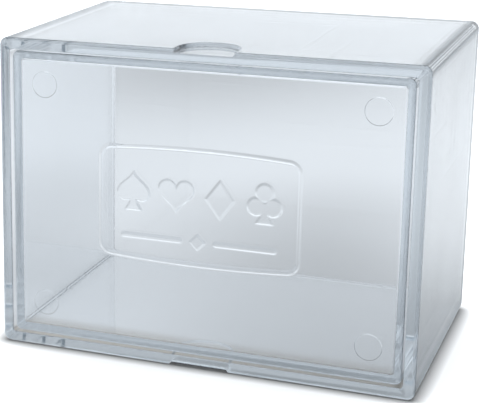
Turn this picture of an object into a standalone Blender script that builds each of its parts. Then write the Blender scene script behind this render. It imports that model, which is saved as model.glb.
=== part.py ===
"""Clear two-part telescoping card box, lying on its long side.

An outer shell, open at one end, and a tray that slides into it with its closed
panel just behind the shell's mouth.  Both pieces have moulding draft: the
shell's bore narrows towards its closed end and the tray widens towards its open
end, which leaves a wide gap at the mouth and a close fit deep inside.

Frame: metres, +Z up, origin at the middle of the face the box rests on,
+X along the long side, -Y out of the mouth.
"""
import math

import bmesh
import bpy
from mathutils import Matrix

MM = 0.001

# ---------------------------------------------------------------- outer shell
SHELL_W = 104.0 * MM          # along X
SHELL_D = 68.0 * MM           # along Y, mouth to closed end
SHELL_H = 78.0 * MM           # along Z
SHELL_WALL_MOUTH = 2.75 * MM  # side wall at the mouth
SHELL_WALL_DEEP = 2.95 * MM   # side wall where it meets the closed end
SHELL_END_WALL = 1.80 * MM    # closed end
SHELL_CORNER_R = 2.0 * MM     # long outer edges, running along Y
SHELL_BORE_R = 0.8 * MM       # long inner corners
SHELL_END_ROUND = 1.3 * MM    # outer edges of the closed end
SHELL_RIM_ROUND = 0.90 * MM   # outer edge of the mouth
SHELL_BORE_ROUND = 0.25 * MM  # inner edge of the mouth
SHELL_END_FILLET = 0.7 * MM   # inside, round the closed end

MOUTH_Y = -SHELL_D / 2
BACK_Y = SHELL_D / 2
MID_Z = SHELL_H / 2
BORE_DEPTH = SHELL_D - SHELL_END_WALL

# thumb recess in the top and the underside, at the mouth
RECESS_HALF_W = 7.4 * MM
RECESS_REACH = 11.6 * MM      # from the mouth inwards
RECESS_DEPTH = 0.95 * MM
RECESS_ARC_STEPS = 24
RECESS_OVER_MOUTH = 3.0 * MM  # how far the cutter sticks out of the mouth
RECESS_OVER_FACE = 2.0 * MM   # how far it sticks out of the top or underside

# ----------------------------------------------------------------- inner tray
# distances along Y are from the mouth plane
TRAY_FACE_Y = 0.40 * MM       # outer face of the panel
TRAY_END_GAP = 0.40 * MM      # tray rim to the shell's closed end
TRAY_RIM_Y = BORE_DEPTH - TRAY_END_GAP
TRAY_W_PANEL = 97.4 * MM      # outside, at the panel
TRAY_H_PANEL = 71.6 * MM
TRAY_FIT_GAP = 0.28 * MM      # each side, at the open end
TRAY_WALL = 1.90 * MM         # side wall at the panel
TRAY_WALL_RIM = 1.60 * MM     # side wall at the open rim
TRAY_PANEL = 1.80 * MM        # panel thickness
TRAY_CORNER_R = 1.5 * MM
TRAY_BORE_R = 0.7 * MM
TRAY_PANEL_ROUND = 0.7 * MM   # outer edges of the panel
TRAY_PANEL_FILLET = 0.5 * MM  # inside, round the panel
TRAY_RIM_ROUND = 0.3 * MM

# four round ejector marks on the panel's inner face
MARK_X = 40.6 * MM
MARK_Z = 27.8 * MM
MARK_R = 3.25 * MM
MARK_DEPTH = 0.25 * MM
MARK_STEPS = 32
MARK_OVER = 1.0 * MM          # how far the cutter sticks out into the tray

# --------------------------------------------------------------------- emblem
# raised on the panel: a plain bowed frame round the four card suits
EMBLEM_X = -0.8 * MM          # its centre, from the panel's centre
EMBLEM_Z = 1.2 * MM
EMBLEM_SINK = 0.5 * MM        # how far each raised shape runs into the panel
RELIEF = 0.26 * MM            # frame, proud of the panel
RELIEF_LOW = 0.22 * MM        # suits, bars and small lozenge

FRAME_HALF_W = 25.0 * MM
FRAME_HALF_H = 13.6 * MM
FRAME_CORNER_R = 3.0 * MM
FRAME_BOW = 0.075             # share by which the long sides swell at mid-length
FRAME_LINE = 1.0 * MM         # width of the frame's line
FRAME_SIDE_STEPS = 6          # segments along each long side

SUIT_PITCH = 10.8 * MM
SUIT_Z = 2.6 * MM             # the row of suits, from the emblem's centre
SPADE_UNIT, SPADE_LIFT = 0.255 * MM, 0.7 * MM
HEART_UNIT, HEART_LIFT = 0.275 * MM, 0.5 * MM
DIAMOND_HALF_W, DIAMOND_HALF_H = 3.5 * MM, 4.7 * MM
LOBE_R = 2.15 * MM            # club lobes
LOBE_RING_R = 2.3 * MM        # circle through the centres of the lobes
LOBE_RING_LIFT = 0.6 * MM
LOBE_DEGREES = (90, 210, 330)
STEM_TOP = 0.6 * MM           # stem of spade and club, a triangle
STEM_FOOT = -4.6 * MM
STEM_HALF_W = 2.1 * MM

BAR_Z = -8.4 * MM             # the lower row: two bars and a lozenge
BAR_X = 11.6 * MM
BAR_HALF_W, BAR_HALF_H = 7.6 * MM, 0.55 * MM
BAR_CORNER_R = 0.50 * MM
SMALL_LOZENGE_HALF = 1.9 * MM

CORNER_STEPS = 7
BAR_CORNER_STEPS = 4
SUIT_STEPS = 48               # rays round a joined suit outline
HEART_STEPS = 96
LOBE_STEPS = 64

SHARP_ANGLE = math.radians(35)


# ------------------------------------------------------------------- outlines
def rounded_rectangle(half_w, half_h, radius, steps=CORNER_STEPS):
    """Corner arcs of a rounded rectangle, anticlockwise."""
    points = []
    for quarter, (side_x, side_z) in enumerate(((1, 1), (-1, 1), (-1, -1), (1, -1))):
        centre_x, centre_z = side_x * (half_w - radius), side_z * (half_h - radius)
        for i in range(steps + 1):
            angle = math.pi / 2 * (quarter + i / steps)
            points.append((centre_x + radius * math.cos(angle),
                           centre_z + radius * math.sin(angle)))
    return points


def circle(centre_x, centre_z, radius, steps):
    angles = [2 * math.pi * i / steps for i in range(steps)]
    return [(centre_x + radius * math.cos(angle), centre_z + radius * math.sin(angle))
            for angle in angles]


def lozenge(half_w, half_h):
    return [(half_w, 0.0), (0.0, half_h), (-half_w, 0.0), (0.0, -half_h)]


# --------------------------------------------------------------------- solids
def skin(mesh_edit, loops, closed=False):
    """Quads between neighbouring loops of vertices; closed joins last to first."""
    pairs = list(zip(loops, loops[1:]))
    if closed:
        pairs.append((loops[-1], loops[0]))
    for near, far in pairs:
        count = len(near)
        for i in range(count):
            j = (i + 1) % count
            mesh_edit.faces.new((near[i], near[j], far[j], far[i]))


def finish_mesh(name, mesh_edit):
    bmesh.ops.recalc_face_normals(mesh_edit, faces=mesh_edit.faces)
    mesh = bpy.data.meshes.new(name)
    mesh_edit.to_mesh(mesh)
    mesh_edit.free()
    piece = bpy.data.objects.new(name, mesh)
    bpy.context.scene.collection.objects.link(piece)
    return piece


def loft_solid(name, sections):
    """Closed solid through rounded-rectangle sections (half_w, half_h, radius, y)."""
    mesh_edit = bmesh.new()
    loops = [[mesh_edit.verts.new((x, y, z))
              for x, z in rounded_rectangle(half_w, half_h, radius)]
             for half_w, half_h, radius, y in sections]
    skin(mesh_edit, loops)
    mesh_edit.faces.new(loops[0])
    mesh_edit.faces.new(loops[-1])
    return finish_mesh(name, mesh_edit)


def prism(name, outline, low, high, to_world):
    """Closed prism: a flat outline (u, v) swept from w=low to w=high."""
    mesh_edit = bmesh.new()
    face = mesh_edit.faces.new([mesh_edit.verts.new((u, v, low)) for u, v in outline])
    swept = bmesh.ops.extrude_face_region(mesh_edit, geom=[face])
    top = [part for part in swept["geom"] if isinstance(part, bmesh.types.BMVert)]
    bmesh.ops.translate(mesh_edit, verts=top, vec=(0, 0, high - low))
    bmesh.ops.transform(mesh_edit, matrix=to_world, verts=mesh_edit.verts)
    return finish_mesh(name, mesh_edit)


def band(name, outer, inner, low, high, to_world):
    """Closed ring-shaped prism between two outlines with equal point counts."""
    mesh_edit = bmesh.new()
    loops = [[mesh_edit.verts.new((u, v, w)) for u, v in outline]
             for outline, w in ((outer, low), (outer, high), (inner, high), (inner, low))]
    skin(mesh_edit, loops, closed=True)
    bmesh.ops.transform(mesh_edit, matrix=to_world, verts=mesh_edit.verts)
    return finish_mesh(name, mesh_edit)


def boolean(piece, tool, operation):
    """Apply a hidden tool object to a piece through a live modifier."""
    tool.hide_render = True
    tool.display_type = "WIRE"
    modifier = piece.modifiers.new(operation.lower() + "_" + tool.name, "BOOLEAN")
    modifier.operation = operation
    modifier.solver = "EXACT"
    modifier.object = tool


def rolled_edge(half_w, half_h, corner_r, edge_r, flat_y, y_sign, steps, bore=False):
    """Sections rolling from a flat face at flat_y to a side wall, edge radius edge_r.

    The side wall lies on the y_sign side of the flat face.  The flat face ends
    inside the given size, or outside it with bore=True, for the lip of an opening.
    """
    sections = []
    for i in range(steps + 1):
        angle = math.pi / 2 * i / steps
        inset = edge_r * (1 - math.sin(angle))
        if bore:
            inset = -inset
        y = flat_y + y_sign * edge_r * (1 - math.cos(angle))
        sections.append((half_w - inset, half_h - inset, corner_r - inset, y))
    return sections


# ------------------------------------------------------------------ materials
def clear_plastic(name, colour, roughness):
    material = bpy.data.materials.new(name)
    material.use_nodes = True
    inputs = material.node_tree.nodes["Principled BSDF"].inputs
    inputs["Base Color"].default_value = (*colour, 1.0)
    inputs["Roughness"].default_value = roughness
    inputs["Metallic"].default_value = 0.0
    inputs["IOR"].default_value = 1.59
    inputs["Transmission Weight"].default_value = 1.0
    return material


def finish_surface(piece, material):
    piece.data.materials.append(material)
    piece.data.shade_smooth()
    piece.data.set_sharp_from_angle(angle=SHARP_ANGLE)


# ---------------------------------------------------------------------- shell
def shell_sections():
    """From the closed end's outer face, over the outside, down the bore to its floor."""
    half_w, half_h = SHELL_W / 2, SHELL_H / 2
    closed_end = rolled_edge(half_w, half_h, SHELL_CORNER_R, SHELL_END_ROUND,
                             BACK_Y, y_sign=-1, steps=4)
    mouth_rim = rolled_edge(half_w, half_h, SHELL_CORNER_R, SHELL_RIM_ROUND,
                            MOUTH_Y, y_sign=1, steps=3)
    bore_lip = rolled_edge(half_w - SHELL_WALL_MOUTH, half_h - SHELL_WALL_MOUTH,
                           SHELL_BORE_R, SHELL_BORE_ROUND,
                           MOUTH_Y, y_sign=1, steps=2, bore=True)
    floor = rolled_edge(half_w - SHELL_WALL_DEEP, half_h - SHELL_WALL_DEEP,
                        SHELL_BORE_R, SHELL_END_FILLET,
                        BACK_Y - SHELL_END_WALL, y_sign=-1, steps=3)
    return closed_end + mouth_rim[::-1] + bore_lip + floor[::-1]


def cut_recesses(shell):
    """Recess outline: straight flanks from the mouth that end in a half circle."""
    flank = RECESS_REACH - RECESS_HALF_W
    outline = [(-RECESS_HALF_W, -RECESS_OVER_MOUTH), (RECESS_HALF_W, -RECESS_OVER_MOUTH)]
    for i in range(RECESS_ARC_STEPS + 1):
        angle = math.pi * i / RECESS_ARC_STEPS
        outline.append((RECESS_HALF_W * math.cos(angle),
                        flank + RECESS_HALF_W * math.sin(angle)))
    at_mouth = Matrix.Translation((0, MOUTH_Y, 0))
    for name, low, high in (
            ("top", SHELL_H - RECESS_DEPTH, SHELL_H + RECESS_OVER_FACE),
            ("under", -RECESS_OVER_FACE, RECESS_DEPTH)):
        cutter = prism("recess_cutter_" + name, outline, low, high, at_mouth)
        boolean(shell, cutter, "DIFFERENCE")


def build_shell():
    shell = loft_solid("outer_shell", shell_sections())
    # lift the mesh, so that the object's origin stays on the resting face
    for vertex in shell.data.vertices:
        vertex.co.z += MID_Z
    cut_recesses(shell)
    finish_surface(shell, clear_plastic("clear_shell_plastic",
                                        colour=(0.93, 0.95, 0.97), roughness=0.04))


# --------------------------------------------------------------------- emblem
def frame_outline(inset):
    """Rounded rectangle whose long sides swell a little."""
    points = rounded_rectangle(FRAME_HALF_W - inset, FRAME_HALF_H - inset,
                               FRAME_CORNER_R - inset)
    outline = []
    for (u, v), (next_u, _) in zip(points, points[1:] + points[:1]):
        outline.append((u, v))
        if abs(next_u - u) > FRAME_HALF_W:    # a long side, so it is divided
            outline += [(u + (next_u - u) * i / FRAME_SIDE_STEPS, v)
                        for i in range(1, FRAME_SIDE_STEPS)]
    return [(u, v * (1 + FRAME_BOW * (1 - (u / FRAME_HALF_W) ** 2))) for u, v in outline]


def exit_distance(shape, angle):
    """How far a ray from the origin runs before it leaves a closed outline."""
    ray_x, ray_y = math.cos(angle), math.sin(angle)
    farthest = 0.0
    for (start_x, start_y), (end_x, end_y) in zip(shape, shape[1:] + shape[:1]):
        edge_x, edge_y = end_x - start_x, end_y - start_y
        cross = edge_x * ray_y - edge_y * ray_x
        if abs(cross) < 1e-15:                # edge parallel to the ray
            continue
        distance = (edge_x * start_y - edge_y * start_x) / cross
        along_edge = (ray_x * start_y - ray_y * start_x) / cross
        if distance > farthest and -1e-9 <= along_edge <= 1 + 1e-9:
            farthest = distance
    return farthest


def joined(shapes):
    """One outline round overlapping shapes, sampled by rays from the origin."""
    outline = []
    for i in range(SUIT_STEPS):
        angle = 2 * math.pi * i / SUIT_STEPS
        reach = max(exit_distance(shape, angle) for shape in shapes)
        outline.append((reach * math.cos(angle), reach * math.sin(angle)))
    return outline


def heart_curve(unit, lift, flip=1):
    """The classic parametric heart, about 32 units wide; flip=-1 stands it on its lobes."""
    outline = []
    for i in range(HEART_STEPS):
        t = 2 * math.pi * i / HEART_STEPS
        x = 16 * math.sin(t) ** 3
        y = 13 * math.cos(t) - 5 * math.cos(2 * t) - 2 * math.cos(3 * t) - math.cos(4 * t)
        outline.append((unit * x, flip * unit * y + lift))
    return outline


def suits():
    """Outlines of the four suits from left to right, each round its own centre."""
    stem = [(0.0, STEM_TOP), (-STEM_HALF_W, STEM_FOOT), (STEM_HALF_W, STEM_FOOT)]
    lobes = [circle(LOBE_RING_R * math.cos(angle),
                    LOBE_RING_LIFT + LOBE_RING_R * math.sin(angle), LOBE_R, LOBE_STEPS)
             for angle in map(math.radians, LOBE_DEGREES)]
    return (
        ("spade", joined([heart_curve(SPADE_UNIT, SPADE_LIFT, flip=-1), stem])),
        ("heart", joined([heart_curve(HEART_UNIT, HEART_LIFT)])),
        ("diamond", lozenge(DIAMOND_HALF_W, DIAMOND_HALF_H)),
        ("club", joined(lobes + [stem])),
    )


def add_emblem(tray, panel_plane):
    centre = panel_plane @ Matrix.Translation((EMBLEM_X, EMBLEM_Z, 0))
    frame = band("emblem_frame", frame_outline(0.0), frame_outline(FRAME_LINE),
                 -EMBLEM_SINK, RELIEF, centre)
    boolean(tray, frame, "UNION")

    bar = rounded_rectangle(BAR_HALF_W, BAR_HALF_H, BAR_CORNER_R, BAR_CORNER_STEPS)
    # name, outline, place along X and Z from the emblem's centre
    low_shapes = [(name, outline, (k - 1.5) * SUIT_PITCH, SUIT_Z)
                  for k, (name, outline) in enumerate(suits())]
    low_shapes += [
        ("bar_left", bar, -BAR_X, BAR_Z),
        ("bar_right", bar, BAR_X, BAR_Z),
        ("lozenge", lozenge(SMALL_LOZENGE_HALF, SMALL_LOZENGE_HALF), 0, BAR_Z),
    ]
    for name, outline, u, v in low_shapes:
        place = centre @ Matrix.Translation((u, v, 0))
        raised = prism("emblem_" + name, outline, -EMBLEM_SINK, RELIEF_LOW, place)
        boolean(tray, raised, "UNION")


# ----------------------------------------------------------------------- tray
def tray_sections():
    """From the panel's outer face, over the outside and the rim, to the inner face."""
    panel_half_w, panel_half_h = TRAY_W_PANEL / 2, TRAY_H_PANEL / 2

    # the tray's open end fits the bore at that depth, less the running gap
    depth_share = TRAY_RIM_Y / BORE_DEPTH
    shell_wall = SHELL_WALL_MOUTH + (SHELL_WALL_DEEP - SHELL_WALL_MOUTH) * depth_share
    rim_half_w = SHELL_W / 2 - shell_wall - TRAY_FIT_GAP
    rim_half_h = SHELL_H / 2 - shell_wall - TRAY_FIT_GAP

    panel_edge = rolled_edge(panel_half_w, panel_half_h, TRAY_CORNER_R, TRAY_PANEL_ROUND,
                             TRAY_FACE_Y, y_sign=1, steps=4)
    rim_outer = rolled_edge(rim_half_w, rim_half_h, TRAY_CORNER_R, TRAY_RIM_ROUND,
                            TRAY_RIM_Y, y_sign=-1, steps=2)
    rim_inner = rolled_edge(rim_half_w - TRAY_WALL_RIM, rim_half_h - TRAY_WALL_RIM,
                            TRAY_BORE_R, TRAY_RIM_ROUND,
                            TRAY_RIM_Y, y_sign=-1, steps=2, bore=True)
    panel_inside = rolled_edge(panel_half_w - TRAY_WALL, panel_half_h - TRAY_WALL,
                               TRAY_BORE_R, TRAY_PANEL_FILLET,
                               TRAY_FACE_Y + TRAY_PANEL, y_sign=1, steps=3)
    return panel_edge + rim_outer[::-1] + rim_inner + panel_inside[::-1]


def cut_ejector_marks(tray, panel_plane):
    disc = circle(0, 0, MARK_R, MARK_STEPS)
    for side, x in (("left", -MARK_X), ("right", MARK_X)):
        for level, z in (("low", -MARK_Z), ("high", MARK_Z)):
            place = panel_plane @ Matrix.Translation((x, z, -TRAY_PANEL))
            cutter = prism(f"mark_cutter_{side}_{level}", disc, -MARK_OVER, MARK_DEPTH, place)
            boolean(tray, cutter, "DIFFERENCE")


def build_tray():
    tray = loft_solid("inner_tray", tray_sections())
    tray.location = (0, MOUTH_Y, MID_Z)
    # panel's outer face: u along +X, v along +Z, w out of the panel towards -Y
    panel_plane = Matrix((
        (1, 0, 0, 0),
        (0, 0, -1, MOUTH_Y + TRAY_FACE_Y),
        (0, 1, 0, MID_Z),
        (0, 0, 0, 1),
    ))
    add_emblem(tray, panel_plane)
    cut_ejector_marks(tray, panel_plane)
    finish_surface(tray, clear_plastic("clear_tray_plastic",
                                       colour=(0.94, 0.955, 0.97), roughness=0.05))


def clear_scene():
    for item in list(bpy.data.objects):
        bpy.data.objects.remove(item, do_unlink=True)


clear_scene()
build_shell()
build_tray()
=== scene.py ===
"""Looks for the clear two-part card box: smooth mouldings, clear plastic, soft studio."""
import math

import bmesh
import bpy
import numpy as np
from mathutils import Matrix, Vector


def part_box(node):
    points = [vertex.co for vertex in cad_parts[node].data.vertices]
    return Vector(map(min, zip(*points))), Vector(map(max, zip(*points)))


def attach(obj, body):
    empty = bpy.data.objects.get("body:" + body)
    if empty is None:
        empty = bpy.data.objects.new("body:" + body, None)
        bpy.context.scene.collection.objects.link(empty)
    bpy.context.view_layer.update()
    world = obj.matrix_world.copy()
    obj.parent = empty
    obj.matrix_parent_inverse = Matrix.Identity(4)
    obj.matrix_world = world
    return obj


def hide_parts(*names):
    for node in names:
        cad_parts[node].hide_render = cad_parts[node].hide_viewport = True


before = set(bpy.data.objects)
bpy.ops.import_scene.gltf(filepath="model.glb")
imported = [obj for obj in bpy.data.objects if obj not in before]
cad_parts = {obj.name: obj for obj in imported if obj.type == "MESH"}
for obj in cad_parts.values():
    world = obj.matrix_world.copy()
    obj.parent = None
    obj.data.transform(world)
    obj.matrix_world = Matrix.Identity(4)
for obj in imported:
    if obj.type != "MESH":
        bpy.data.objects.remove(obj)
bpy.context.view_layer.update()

MM = 0.001
scene = bpy.context.scene

# ------------------------------------------------------------------ dimensions
SHELL_LO, SHELL_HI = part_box("outer_shell")
TRAY_LO, TRAY_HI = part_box("inner_tray")
MOUTH_Y, BACK_Y = SHELL_LO.y, SHELL_HI.y
HALF_W = (SHELL_HI.x - SHELL_LO.x) / 2
HALF_H = (SHELL_HI.z - SHELL_LO.z) / 2
MID_X = (SHELL_HI.x + SHELL_LO.x) / 2
MID_Z = (SHELL_HI.z + SHELL_LO.z) / 2

WALL_MOUTH, WALL_DEEP, END_WALL = 2.75 * MM, 2.95 * MM, 1.80 * MM
SHELL_CORNER_R, SHELL_BORE_R = 2.0 * MM, 0.8 * MM
SHELL_END_ROUND, SHELL_RIM_ROUND = 1.3 * MM, 0.90 * MM
SHELL_BORE_ROUND, SHELL_END_FILLET = 0.25 * MM, 0.7 * MM
RECESS_HALF_W, RECESS_REACH, RECESS_DEPTH = 7.4 * MM, 11.6 * MM, 0.95 * MM

TRAY_INSET = 0.40 * MM                       # panel face behind the mouth
TRAY_HALF_W, TRAY_HALF_H = 48.7 * MM, 35.8 * MM    # outside, at the panel
TRAY_RIM_Y = TRAY_HI.y
TRAY_RIM_HALF_W, TRAY_RIM_HALF_H = 48.77 * MM, 35.77 * MM
TRAY_WALL, TRAY_WALL_RIM, TRAY_PANEL = 1.90 * MM, 1.60 * MM, 1.80 * MM
TRAY_CORNER_R, TRAY_BORE_R = 1.5 * MM, 0.7 * MM
TRAY_PANEL_ROUND, TRAY_PANEL_FILLET, TRAY_RIM_ROUND = 0.7 * MM, 0.5 * MM, 0.3 * MM
PANEL_Y = MOUTH_Y + TRAY_INSET

MARK_X, MARK_Z, MARK_R, MARK_DEPTH = 40.6 * MM, 27.8 * MM, 3.25 * MM, 0.20 * MM

# raised emblem: a plain bowed frame round the four card suits
EMBLEM_X, EMBLEM_Z = -0.8 * MM, 1.2 * MM
FRAME_HALF_W, FRAME_HALF_H, FRAME_CORNER_R = 25.0 * MM, 13.6 * MM, 3.0 * MM
FRAME_BOW, FRAME_LINE = 0.075, 1.0 * MM
RELIEF, RELIEF_LOW = 0.26 * MM, 0.29 * MM
SUIT_PITCH, SUIT_Z = 10.8 * MM, 2.6 * MM
BAR_Z, BAR_X, BAR_HALF_W, BAR_HALF_H = -8.4 * MM, 11.6 * MM, 7.6 * MM, 0.55 * MM
EMBLEM_CELL = 0.20 * MM


# -------------------------------------------------------------------- mesh code
def rounded_rectangle(half_w, half_h, radius, steps):
    radius = max(radius, 0.03 * MM)
    points = []
    for quarter, (sx, sz) in enumerate(((1, 1), (-1, 1), (-1, -1), (1, -1))):
        cx, cz = sx * (half_w - radius), sz * (half_h - radius)
        for i in range(steps + 1):
            a = math.pi / 2 * (quarter + i / steps)
            points.append((cx + radius * math.cos(a), cz + radius * math.sin(a)))
    return points


def skin(bm, loops, closed=False):
    pairs = list(zip(loops, loops[1:]))
    if closed:
        pairs.append((loops[-1], loops[0]))
    for a, b in pairs:
        n = len(a)
        for i in range(n):
            bm.faces.new((a[i], a[(i + 1) % n], b[(i + 1) % n], b[i]))


def to_object(name, bm):
    bmesh.ops.recalc_face_normals(bm, faces=bm.faces)
    mesh = bpy.data.meshes.new(name)
    bm.to_mesh(mesh)
    bm.free()
    ob = bpy.data.objects.new(name, mesh)
    scene.collection.objects.link(ob)
    return ob


def loft_solid(name, sections, steps=12):
    """Closed solid through rounded-rectangle sections (half_w, half_h, radius, y)."""
    bm = bmesh.new()
    loops = [[bm.verts.new((MID_X + x, y, MID_Z + z))
              for x, z in rounded_rectangle(hw, hh, r, steps)] for hw, hh, r, y in sections]
    skin(bm, loops)
    bm.faces.new(loops[0])
    bm.faces.new(loops[-1])
    return to_object(name, bm)


def stack(name, outlines, to_world, cap=True):
    """Closed solid through flat outlines [(points, w), ...] with equal point counts."""
    bm = bmesh.new()
    loops = [[bm.verts.new((u, v, w)) for u, v in outline] for outline, w in outlines]
    skin(bm, loops, closed=not cap)
    if cap:
        bm.faces.new(loops[0])
        bm.faces.new(loops[-1])
    bmesh.ops.transform(bm, matrix=to_world, verts=bm.verts)
    return to_object(name, bm)


def roll_edge(hw, hh, corner_r, round_r, y_flat, inwards, steps):
    """Sections from a flat end face, inset by round_r, round to the side."""
    out = []
    for i in range(steps + 1):
        a = math.pi / 2 * i / steps
        inset = round_r * (1 - math.sin(a))
        out.append((hw - inset, hh - inset, corner_r - inset,
                    y_flat + inwards * round_r * (1 - math.cos(a))))
    return out


def combine(ob, tools):
    """Applies (tool, operation) booleans and returns the result as a plain mesh object."""
    for tool, operation in tools:
        mod = ob.modifiers.new(operation.lower(), "BOOLEAN")
        mod.operation, mod.solver, mod.object = operation, "EXACT", tool
    bpy.context.view_layer.update()
    result = bpy.data.meshes.new_from_object(ob.evaluated_get(bpy.context.evaluated_depsgraph_get()))
    name = ob.name
    for tool, _ in tools:
        bpy.data.objects.remove(tool, do_unlink=True)
    bpy.data.objects.remove(ob, do_unlink=True)
    result.name = name
    out = bpy.data.objects.new(name, result)
    scene.collection.objects.link(out)
    return out


def smooth(ob, angle=34.0):
    ob.data.shade_smooth()
    ob.data.set_sharp_from_angle(angle=math.radians(angle))
    mod = ob.modifiers.new("even_normals", "WEIGHTED_NORMAL")
    mod.mode, mod.weight, mod.keep_sharp = "FACE_AREA", 50, True


def build_shell():
    closed = roll_edge(HALF_W, HALF_H, SHELL_CORNER_R, SHELL_END_ROUND, BACK_Y, -1, 8)
    mouth = roll_edge(HALF_W, HALF_H, SHELL_CORNER_R, SHELL_RIM_ROUND, MOUTH_Y, +1, 8)
    sections = closed + mouth[::-1]
    bw, bh = HALF_W - WALL_MOUTH, HALF_H - WALL_MOUTH
    for i in range(5):
        a = math.pi / 2 * i / 4
        grow = SHELL_BORE_ROUND * (1 - math.sin(a))
        sections.append((bw + grow, bh + grow, SHELL_BORE_R + grow,
                         MOUTH_Y + SHELL_BORE_ROUND * (1 - math.cos(a))))
    floor_y = BACK_Y - END_WALL
    dw, dh = HALF_W - WALL_DEEP, HALF_H - WALL_DEEP
    for i in range(7):
        a = math.pi / 2 * i / 6
        inset = SHELL_END_FILLET * (1 - math.cos(a))
        sections.append((dw - inset, dh - inset, max(SHELL_BORE_R - inset, 0.08 * MM),
                         floor_y - SHELL_END_FILLET * (1 - math.sin(a))))
    shell = loft_solid("clear_outer_shell", sections, 12)

    flank = RECESS_REACH - RECESS_HALF_W

    def half_moon(grow):
        """Outline of the recess, grown by a little: flanks that end in a half circle."""
        w = RECESS_HALF_W + grow
        points = [(-w, -3 * MM), (w, -3 * MM)]
        points += [(w * math.cos(math.pi * i / 48), flank + w * math.sin(math.pi * i / 48))
                   for i in range(49)]
        return points

    tools = []
    place = Matrix.Translation((MID_X, MOUTH_Y, 0))
    for name, side, face_z in (("recess_top", 1, SHELL_HI.z), ("recess_under", -1, SHELL_LO.z)):
        # from the floor outwards, with a small radius where wall meets floor
        floor_z = face_z - side * RECESS_DEPTH
        soft = 0.68 * MM
        levels = [(half_moon(-soft * (1 - math.sin(math.pi / 2 * i / 8))),
                   floor_z + side * soft * (1 - math.cos(math.pi / 2 * i / 8))) for i in range(9)]
        lip = 0.25 * MM
        levels += [(half_moon(lip * (1 - math.cos(math.pi / 2 * i / 4))),
                    face_z - side * lip * (1 - math.sin(math.pi / 2 * i / 4))) for i in range(5)]
        levels.append((half_moon(lip), face_z + side * 2 * MM))
        tools.append((stack(name, levels, place), "DIFFERENCE"))
    shell = combine(shell, tools)
    smooth(shell)
    return shell


def frame_outline():
    """Rounded rectangle whose long sides swell a little."""
    corner = rounded_rectangle(FRAME_HALF_W, FRAME_HALF_H, FRAME_CORNER_R, 16)
    out = []
    for (u, v), (nu, nv) in zip(corner, corner[1:] + corner[:1]):
        out.append((u, v))
        if abs(nu - u) > FRAME_HALF_W:
            out += [(u + (nu - u) * i / 32, v) for i in range(1, 32)]
    return [(u, v * (1 + FRAME_BOW * (1 - (u / FRAME_HALF_W) ** 2))) for u, v in out]


def heart_curve(unit, lift, flip=1):
    out = []
    for i in range(96):
        t = 2 * math.pi * i / 96
        x = 16 * math.sin(t) ** 3
        y = 13 * math.cos(t) - 5 * math.cos(2 * t) - 2 * math.cos(3 * t) - math.cos(4 * t)
        out.append((unit * x, flip * unit * y + lift))
    return out


def circle(cx, cy, r):
    return [(cx + r * math.cos(2 * math.pi * i / 64), cy + r * math.sin(2 * math.pi * i / 64))
            for i in range(64)]


def suits():
    """Spade, heart, diamond and club, each as overlapping outlines round its own centre."""
    stem = [(0.6 * MM, 0.6 * MM), (-0.6 * MM, 0.6 * MM), (-1.0 * MM, -2.9 * MM), (-2.1 * MM, -4.6 * MM),
            (2.1 * MM, -4.6 * MM), (1.0 * MM, -2.9 * MM)]
    lobes = [circle(2.3 * MM * math.cos(a), 0.6 * MM + 2.3 * MM * math.sin(a), 2.15 * MM)
             for a in (math.pi / 2, math.pi * 7 / 6, math.pi * 11 / 6)]
    return ([heart_curve(0.255 * MM, 0.7 * MM, -1), stem], [heart_curve(0.275 * MM, 0.5 * MM)],
            [[(3.5 * MM, 0.0), (0.0, 4.7 * MM), (-3.5 * MM, 0.0), (0.0, -4.7 * MM)]], lobes + [stem])


def distance_to(shape, u, v):
    """Signed distance from points to a closed outline, negative inside."""
    near = np.full(u.shape, 1.0)
    inside = np.zeros(u.shape, dtype=bool)
    for (ax, ay), (bx, by) in zip(shape, shape[1:] + shape[:1]):
        ex, ey = bx - ax, by - ay
        k = np.clip(((u - ax) * ex + (v - ay) * ey) / max(ex * ex + ey * ey, 1e-18), 0, 1)
        near = np.minimum(near, np.hypot(u - ax - k * ex, v - ay - k * ey))
        if ay != by:
            crosses = ((ay > v) != (by > v)) & (u < ex * (v - ay) / ey + ax)
            inside ^= crosses
    return np.where(inside, -near, near)


def emblem_height(u, v):
    """Height of the relief over the panel, from the emblem's centre."""
    line = np.abs(distance_to(frame_outline(), u, v) + FRAME_LINE / 2)
    height = RELIEF * (0.5 + 0.5 * np.cos(math.pi * np.clip(line / (0.62 * FRAME_LINE), 0, 1)))
    soft = 0.23 * MM

    def plateau(d):
        k = np.clip(0.5 - d / (2 * soft), 0, 1)
        return k * k * (3 - 2 * k)

    placed = [(outline, (k - 1.5) * SUIT_PITCH, SUIT_Z) for k, outline in enumerate(suits())]
    bar = [rounded_rectangle(BAR_HALF_W, BAR_HALF_H, BAR_HALF_H - 0.05 * MM, 6)]
    placed += [(bar, -BAR_X, BAR_Z), (bar, BAR_X, BAR_Z)]
    placed.append(([[(1.9 * MM, 0.0), (0.0, 1.9 * MM), (-1.9 * MM, 0.0), (0.0, -1.9 * MM)]], 0.0, BAR_Z))
    for shapes, cu, cv in placed:
        d = np.min([distance_to(shape, u - cu, v - cv) for shape in shapes], axis=0)
        height = np.maximum(height, RELIEF_LOW * plateau(d))
    return height


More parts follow.
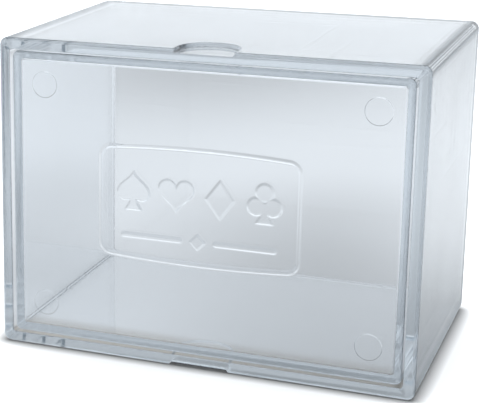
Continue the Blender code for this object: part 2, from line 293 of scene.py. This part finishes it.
def raise_emblem(tray):
    """Swaps the panel's flat face for one with a fine grid that carries the relief."""
    bm = bmesh.new()
    bm.from_mesh(tray.data)
    face = [f for f in bm.faces if f.normal.y < -0.999
            and all(abs(vert.co.y - PANEL_Y) < 1e-6 for vert in f.verts)]
    bmesh.ops.delete(bm, geom=face, context="FACES_ONLY")
    rim = [e for e in bm.edges if e.is_boundary or e.is_wire]
    nu, nv = round(54.0 * MM / EMBLEM_CELL), round(33.0 * MM / EMBLEM_CELL)
    us = (np.arange(nu + 1) - nu / 2) * EMBLEM_CELL
    vs = (np.arange(nv + 1) - nv / 2) * EMBLEM_CELL
    uu, vv = np.meshgrid(us, vs)
    hh = emblem_height(uu, vv)
    assert hh[0].max() + hh[-1].max() + hh[:, 0].max() + hh[:, -1].max() < 1e-9
    ox, oz = MID_X + EMBLEM_X, MID_Z + EMBLEM_Z
    grid = [[bm.verts.new((ox + uu[j, i], PANEL_Y - hh[j, i], oz + vv[j, i]))
             for i in range(nu + 1)] for j in range(nv + 1)]
    for j in range(nv):
        for i in range(nu):
            bm.faces.new((grid[j][i], grid[j][i + 1], grid[j + 1][i + 1], grid[j + 1][i]))
    bm.edges.ensure_lookup_table()
    hem = [e for row in (grid[0], grid[-1]) for a, b in zip(row, row[1:])
           for e in a.link_edges if e.other_vert(a) is b]
    for i in (0, nu):
        hem += [e for j in range(nv) for e in grid[j][i].link_edges
                if e.other_vert(grid[j][i]) is grid[j + 1][i]]
    bmesh.ops.triangle_fill(bm, edges=rim + hem, use_beauty=True, normal=(0, -1, 0))
    bmesh.ops.recalc_face_normals(bm, faces=bm.faces)
    open_edges = [e for e in bm.edges if len(e.link_faces) != 2]
    assert not open_edges, "the tray's panel is not closed: %d edges" % len(open_edges)
    bm.to_mesh(tray.data)
    bm.free()


def build_tray():
    sections = roll_edge(TRAY_HALF_W, TRAY_HALF_H, TRAY_CORNER_R, TRAY_PANEL_ROUND, PANEL_Y, +1, 8)
    rw, rh = TRAY_RIM_HALF_W, TRAY_RIM_HALF_H
    for i in range(5):
        a = math.pi / 2 * i / 4
        inset = TRAY_RIM_ROUND * (1 - math.cos(a))
        sections.append((rw - inset, rh - inset, TRAY_CORNER_R - inset,
                         TRAY_RIM_Y - TRAY_RIM_ROUND * (1 - math.sin(a))))
    iw, ih = rw - TRAY_WALL_RIM, rh - TRAY_WALL_RIM
    for i in range(5):
        a = math.pi / 2 * i / 4
        grow = TRAY_RIM_ROUND * (1 - math.sin(a))
        sections.append((iw + grow, ih + grow, TRAY_BORE_R + grow,
                         TRAY_RIM_Y - TRAY_RIM_ROUND * (1 - math.cos(a))))
    pw, ph = TRAY_HALF_W - TRAY_WALL, TRAY_HALF_H - TRAY_WALL
    inner_y = PANEL_Y + TRAY_PANEL
    for i in range(7):
        a = math.pi / 2 * i / 6
        inset = TRAY_PANEL_FILLET * (1 - math.cos(a))
        sections.append((pw - inset, ph - inset, max(TRAY_BORE_R - inset, 0.08 * MM),
                         inner_y + TRAY_PANEL_FILLET * (1 - math.sin(a))))
    tray = loft_solid("clear_inner_tray", sections, 12)

    # panel plane: u along +X, v along +Z, w out of the panel
    out = Matrix(((1, 0, 0, MID_X), (0, 0, -1, PANEL_Y), (0, 1, 0, MID_Z), (0, 0, 0, 1)))
    tools = []

    def disc(grow):
        n = 72
        r = MARK_R + grow
        return [(r * math.cos(2 * math.pi * i / n), r * math.sin(2 * math.pi * i / n)) for i in range(n)]

    soft, deep = 0.20 * MM, 0.16 * MM
    for sx in (-1, 1):
        for sz in (-1, 1):
            place = out @ Matrix.Translation((sx * MARK_X, sz * MARK_Z, -TRAY_PANEL))
            levels = [(disc(-soft * (1 - math.sin(math.pi / 2 * i / 4))),
                       MARK_DEPTH - deep * (1 - math.cos(math.pi / 2 * i / 4))) for i in range(5)]
            levels += [(disc(0.10 * MM), 0.0), (disc(0.10 * MM), -1.0 * MM)]
            tools.append((stack("mark_%d_%d" % (sx + 1, sz + 1), levels, place), "DIFFERENCE"))
    tray = combine(tray, tools)
    raise_emblem(tray)
    smooth(tray)
    return tray


# -------------------------------------------------------------------- materials
def node(tree, kind, **settings):
    n = tree.nodes.new(kind)
    for key, value in settings.items():
        if key in n.inputs:
            n.inputs[key].default_value = value
        else:
            setattr(n, key, value)
    return n


def clear_plastic(name, tint, absorb, seed, haze):
    """Clear polystyrene: faint tint, fine scratches, handling haze and mould flow."""
    mat = bpy.data.materials.new(name)
    mat.use_nodes = True
    t = mat.node_tree
    t.nodes.clear()
    link = t.links.new
    out = node(t, "ShaderNodeOutputMaterial")
    bsdf = node(t, "ShaderNodeBsdfPrincipled")
    bsdf.inputs["IOR"].default_value = 1.59
    bsdf.inputs["Transmission Weight"].default_value = 1.0
    bsdf.inputs["Specular IOR Level"].default_value = 0.5
    link(bsdf.outputs["BSDF"], out.inputs["Surface"])
    # the plastic is only tinted where one looks along a wall
    depth = node(t, "ShaderNodeVolumeAbsorption", Density=20.0)
    depth.inputs["Color"].default_value = tuple(1 - a / 20.0 for a in absorb) + (1,)
    link(depth.outputs["Volume"], out.inputs["Volume"])

    where = node(t, "ShaderNodeTexCoord")
    shift = node(t, "ShaderNodeMapping")
    shift.inputs["Location"].default_value = (seed * 0.13, seed * 0.07, seed * 0.19)
    link(where.outputs["Object"], shift.inputs["Vector"])

    # tint that drifts a little over the moulding
    drift = node(t, "ShaderNodeTexNoise", Scale=14.0, Detail=2.0)
    link(shift.outputs["Vector"], drift.inputs["Vector"])
    ramp = node(t, "ShaderNodeValToRGB")
    ramp.color_ramp.elements[0].position, ramp.color_ramp.elements[1].position = 0.3, 0.7
    ramp.color_ramp.elements[0].color = (tint[0] * 0.985, tint[1] * 0.985, tint[2] * 0.985, 1)
    ramp.color_ramp.elements[1].color = (min(1, tint[0] * 1.01), min(1, tint[1] * 1.01), min(1, tint[2] * 1.01), 1)
    link(drift.outputs["Fac"], ramp.inputs["Fac"])
    link(ramp.outputs["Color"], bsdf.inputs["Base Color"])

    # handling haze: patches of slightly higher roughness
    cloud = node(t, "ShaderNodeTexNoise", Scale=38.0, Detail=6.0, Roughness=0.6)
    link(shift.outputs["Vector"], cloud.inputs["Vector"])
    rough = node(t, "ShaderNodeMapRange")
    rough.inputs["From Min"].default_value, rough.inputs["From Max"].default_value = 0.45, 0.75
    rough.inputs["To Min"].default_value, rough.inputs["To Max"].default_value = 0.0, haze
    link(cloud.outputs["Fac"], rough.inputs["Value"])
    link(rough.outputs["Result"], bsdf.inputs["Roughness"])

    # fine scratches in two directions, plus slow mould flow
    height = None
    for k, (turn, stretch) in enumerate((((0.3, 0.2, 0.4), (420, 14, 420)), ((1.1, -0.4, 1.9), (16, 380, 380)))):
        m = node(t, "ShaderNodeMapping")
        m.inputs["Rotation"].default_value = turn
        m.inputs["Scale"].default_value = stretch
        link(shift.outputs["Vector"], m.inputs["Vector"])
        s = node(t, "ShaderNodeTexNoise", Scale=1.0, Detail=2.0)
        link(m.outputs["Vector"], s.inputs["Vector"])
        r = node(t, "ShaderNodeMapRange")
        r.inputs["From Min"].default_value, r.inputs["From Max"].default_value = 0.66, 0.72
        link(s.outputs["Fac"], r.inputs["Value"])
        if height is None:
            height = r.outputs["Result"]
        else:
            add = node(t, "ShaderNodeMath", operation="ADD")
            link(height, add.inputs[0])
            link(r.outputs["Result"], add.inputs[1])
            height = add.outputs[0]
    scratch = node(t, "ShaderNodeBump", Strength=0.15, Distance=0.00002)
    link(height, scratch.inputs["Height"])
    flow = node(t, "ShaderNodeTexNoise", Scale=26.0, Detail=1.0)
    link(shift.outputs["Vector"], flow.inputs["Vector"])
    wave = node(t, "ShaderNodeBump", Strength=0.2, Distance=0.0001)
    link(flow.outputs["Fac"], wave.inputs["Height"])
    link(scratch.outputs["Normal"], wave.inputs["Normal"])
    link(wave.outputs["Normal"], bsdf.inputs["Normal"])
    return mat


shell = build_shell()
shell.data.materials.append(clear_plastic("clear_shell_plastic", (0.965, 0.975, 0.985), (6.6, 5.8, 5.2), 1.0, 0.05))
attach(shell, "shell")
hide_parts("outer_shell")

tray = build_tray()
tray.data.materials.append(clear_plastic("clear_tray_plastic", (0.965, 0.975, 0.985), (6.6, 5.8, 5.2), 5.0, 0.05))
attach(tray, "tray")
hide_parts("inner_tray")


# ------------------------------------------------------------------------ stage
COOL = (0.955, 1.0, 1.044)              # tone of the studio's light
# painted shade: a darker, warm tone for the glowing strip of floor under the mouth
WARM_PAINTED_SHADE = (0.53, 0.505, 0.46)             # strip of floor under the mouth
FLOOR_LIGHT = 0.88


def build_floor():
    bm = bmesh.new()
    bmesh.ops.create_grid(bm, x_segments=8, y_segments=8, size=3.0)
    floor = to_object("studio_floor", bm)
    floor.location.z = SHELL_LO.z - 0.00005
    mat = bpy.data.materials.new("pale_floor")
    mat.use_nodes = True
    t = mat.node_tree
    t.nodes.clear()
    link = t.links.new
    out = node(t, "ShaderNodeOutputMaterial")
    diffuse = node(t, "ShaderNodeBsdfDiffuse")
    path = node(t, "ShaderNodeLightPath")
    # What the clear walls show of the floor is a painted glow, not a lit floor: an even cool light with a few broad
    # soft zones of painted shade (the deepest a painted shadow under the box) and one painted pool of light, (share
    # of light, centre, reach), each fading smoothly to nothing.
    painted_shade_and_light_zones = ((-0.50, (0.055, -0.035), (0.125, 0.150)), (-0.34, (-0.116, 0.357), (0.158, 0.206)),
             (0.27, (0.120, 0.200), (0.140, 0.360)), (-0.30, (0.000, 0.075), (0.080, 0.105)),
             (-0.22, (-0.070, 0.012), (0.060, 0.070)))
    where = node(t, "ShaderNodeNewGeometry")
    level = None
    for share, centre, reach in painted_shade_and_light_zones:
        away = node(t, "ShaderNodeVectorMath", operation="SUBTRACT")
        link(where.outputs["Position"], away.inputs[0])
        away.inputs[1].default_value = (*centre, 0)
        scaled = node(t, "ShaderNodeVectorMath", operation="DIVIDE")
        link(away.outputs["Vector"], scaled.inputs[0])
        scaled.inputs[1].default_value = (*reach, 1)
        length = node(t, "ShaderNodeVectorMath", operation="LENGTH")
        link(scaled.outputs["Vector"], length.inputs[0])
        fade = node(t, "ShaderNodeMapRange", interpolation_type="SMOOTHSTEP")
        fade.inputs["To Min"].default_value, fade.inputs["To Max"].default_value = share, 0.0
        link(length.outputs["Value"], fade.inputs["Value"])
        total = node(t, "ShaderNodeMath", operation="ADD")
        link(fade.outputs["Result"], total.inputs[0])
        if level is None:
            total.inputs[1].default_value = FLOOR_LIGHT
        else:
            link(level, total.inputs[1])
        level = total.outputs[0]
    # painted warm shade: a darker, warmer strip of the glowing floor under the mouth, which only the gap round the
    # tray looks down on
    split = node(t, "ShaderNodeSeparateXYZ")
    link(where.outputs["Position"], split.inputs["Vector"])
    strip = node(t, "ShaderNodeMapRange", interpolation_type="SMOOTHSTEP")
    strip.inputs["From Min"].default_value, strip.inputs["From Max"].default_value = -0.020, -0.026
    link(split.outputs["Y"], strip.inputs["Value"])
    ends = node(t, "ShaderNodeMapRange", interpolation_type="SMOOTHSTEP")
    ends.inputs["From Min"].default_value, ends.inputs["From Max"].default_value = -0.050, -0.036
    link(split.outputs["Y"], ends.inputs["Value"])
    both = node(t, "ShaderNodeMath", operation="MULTIPLY")
    link(strip.outputs["Result"], both.inputs[0])
    link(ends.outputs["Result"], both.inputs[1])
    aside = node(t, "ShaderNodeMath", operation="ABSOLUTE")
    link(split.outputs["X"], aside.inputs[0])
    across = node(t, "ShaderNodeMapRange", interpolation_type="SMOOTHSTEP")
    across.inputs["From Min"].default_value, across.inputs["From Max"].default_value = 0.062, 0.050
    link(aside.outputs[0], across.inputs["Value"])
    warm_shade_patch = node(t, "ShaderNodeMath", operation="MULTIPLY")
    link(both.outputs[0], warm_shade_patch.inputs[0])
    link(across.outputs["Result"], warm_shade_patch.inputs[1])
    colour = node(t, "ShaderNodeMix", data_type="RGBA")
    colour.inputs["A"].default_value = (*COOL, 1)
    colour.inputs["B"].default_value = (*WARM_PAINTED_SHADE, 1)
    link(warm_shade_patch.outputs[0], colour.inputs["Factor"])
    # painted light: the floor glows, though it is no lamp, for every ray but the camera's
    painted_floor_glow = node(t, "ShaderNodeEmission")
    link(colour.outputs["Result"], painted_floor_glow.inputs["Color"])
    link(level, painted_floor_glow.inputs["Strength"])
    # painted tight contact shadow round the footprint, on the floor as it is seen directly
    flat = node(t, "ShaderNodeVectorMath", operation="ABSOLUTE")
    link(where.outputs["Position"], flat.inputs[0])
    outside = node(t, "ShaderNodeVectorMath", operation="SUBTRACT")
    link(flat.outputs["Vector"], outside.inputs[0])
    outside.inputs[1].default_value = (HALF_W - 0.0015, (BACK_Y - MOUTH_Y) / 2 - 0.0015, 1)
    clear = node(t, "ShaderNodeVectorMath", operation="MAXIMUM")
    link(outside.outputs["Vector"], clear.inputs[0])
    clear.inputs[1].default_value = (0, 0, 0)
    gap = node(t, "ShaderNodeVectorMath", operation="LENGTH")
    link(clear.outputs["Vector"], gap.inputs[0])
    shade = node(t, "ShaderNodeMapRange")
    shade.inputs["From Min"].default_value, shade.inputs["From Max"].default_value = 0.0015, 0.0046
    shade.inputs["To Min"].default_value, shade.inputs["To Max"].default_value = 0.38, 1.0
    link(gap.outputs["Value"], shade.inputs["Value"])
    grey = node(t, "ShaderNodeMix", data_type="RGBA")
    grey.inputs["A"].default_value = (0.0, 0.0, 0.0, 1)
    grey.inputs["B"].default_value = (0.98, 0.98, 0.98, 1)
    link(shade.outputs["Result"], grey.inputs["Factor"])
    link(grey.outputs["Result"], diffuse.inputs["Color"])
    mix = node(t, "ShaderNodeMixShader")
    link(path.outputs["Is Camera Ray"], mix.inputs["Fac"])
    link(painted_floor_glow.outputs["Emission"], mix.inputs[1])
    link(diffuse.outputs["BSDF"], mix.inputs[2])
    link(mix.outputs["Shader"], out.inputs["Surface"])
    floor.data.materials.append(mat)


def build_world():
    world = bpy.data.worlds.new("soft_studio")
    scene.world = world
    world.use_nodes = True
    t = world.node_tree
    t.nodes.clear()
    link = t.links.new
    out = node(t, "ShaderNodeOutputWorld")
    back = node(t, "ShaderNodeBackground")
    where = node(t, "ShaderNodeTexCoord")
    split = node(t, "ShaderNodeSeparateXYZ")
    link(where.outputs["Generated"], split.inputs["Vector"])

    def ranged(socket, a, b, lo, hi):
        r = node(t, "ShaderNodeMapRange", interpolation_type="SMOOTHSTEP")
        r.inputs["From Min"].default_value, r.inputs["From Max"].default_value = a, b
        r.inputs["To Min"].default_value, r.inputs["To Max"].default_value = lo, hi
        link(socket, r.inputs["Value"])
        return r.outputs["Result"]

    def add(a, b, operation="ADD"):
        m = node(t, "ShaderNodeMath", operation=operation)
        link(a, m.inputs[0])
        link(b, m.inputs[1])
        return m.outputs[0]

    horizon = ranged(split.outputs["Z"], 0.08, 0.34, 1.20, 0.78)
    overhead = ranged(split.outputs["Z"], 0.72, 0.985, 0.0, 0.97)
    total = add(horizon, overhead)
    tone = node(t, "ShaderNodeCombineColor")
    for i, share in enumerate(COOL):
        m = node(t, "ShaderNodeMath", operation="MULTIPLY")
        link(total, m.inputs[0])
        m.inputs[1].default_value = share
        link(m.outputs[0], tone.inputs[i])
    path = node(t, "ShaderNodeLightPath")
    seen = node(t, "ShaderNodeMix", data_type="RGBA")
    seen.inputs["B"].default_value = (1, 1, 1, 1)
    link(path.outputs["Is Camera Ray"], seen.inputs["Factor"])
    link(tone.outputs["Color"], seen.inputs["A"])
    link(seen.outputs["Result"], back.inputs["Color"])
    back.inputs["Strength"].default_value = 1.0
    link(back.outputs["Background"], out.inputs["Surface"])


def softbox(name, place, target, size, watts):
    light = bpy.data.lights.new(name, "AREA")
    light.shape, light.size, light.size_y = "RECTANGLE", size[0], size[1]
    light.energy = watts
    ob = bpy.data.objects.new(name, light)
    scene.collection.objects.link(ob)
    ob.location = place
    ob.rotation_mode = "QUATERNION"
    ob.rotation_quaternion = (Vector(target) - Vector(place)).to_track_quat("-Z", "Y")
    ob.visible_glossy = ob.visible_transmission = False


build_floor()
build_world()
softbox("overhead_softbox", (-0.1, 0.15, 1.3), (0, 0, 0.03), (1.6, 1.6), 20.0)

# ----------------------------------------------------------------------- camera
# Right, down and forward axes of the photograph's view, and where it stands.
VIEW_RIGHT = Vector((0.92072, 0.39021, -0.00384))
VIEW_DOWN = Vector((0.09327, -0.22962, -0.96880))
VIEW_AT = Vector((0.10556, -0.35631, 0.13845))
FOCAL_PX, CENTRE_PX, FRAME_PX = 1495.75, (77.4, 161.3), (480, 403)

cam_data = bpy.data.cameras.new("photo_view")
cam_data.sensor_fit, cam_data.sensor_width = "HORIZONTAL", 36.0
cam_data.lens = FOCAL_PX / FRAME_PX[0] * 36.0
cam_data.clip_start, cam_data.clip_end = 0.01, 20.0
cam = bpy.data.objects.new("photo_view", cam_data)
scene.collection.objects.link(cam)
right = VIEW_RIGHT.normalized()
down = (VIEW_DOWN - right * VIEW_DOWN.dot(right)).normalized()
forward = right.cross(down)
cam.matrix_world = Matrix((
    (right.x, -down.x, -forward.x, VIEW_AT.x),
    (right.y, -down.y, -forward.y, VIEW_AT.y),
    (right.z, -down.z, -forward.z, VIEW_AT.z),
    (0, 0, 0, 1)))
scene.camera = cam

# The lens shift belongs to this one standpoint: from anywhere else the box is centred.
SHIFT = ((FRAME_PX[0] / 2 - CENTRE_PX[0]) / FRAME_PX[0], (CENTRE_PX[1] - FRAME_PX[1] / 2) / FRAME_PX[0])
for channel, amount in zip(("shift_x", "shift_y"), SHIFT):
    driver = cam_data.driver_add(channel).driver
    driver.type = "SCRIPTED"
    across = driver.variables.new()
    across.name, across.type = "x", "TRANSFORMS"
    across.targets[0].id = cam
    across.targets[0].transform_type, across.targets[0].transform_space = "LOC_X", "WORLD_SPACE"
    driver.expression = "%.6f * (abs(x - %.6f) < 0.0005)" % (amount, VIEW_AT.x)

scene.view_settings.view_transform = "Standard"
scene.view_settings.look = "None"
scene.cycles.max_bounces = 64
scene.cycles.transmission_bounces = 64
scene.cycles.glossy_bounces = 64
scene.cycles.transparent_max_bounces = 16
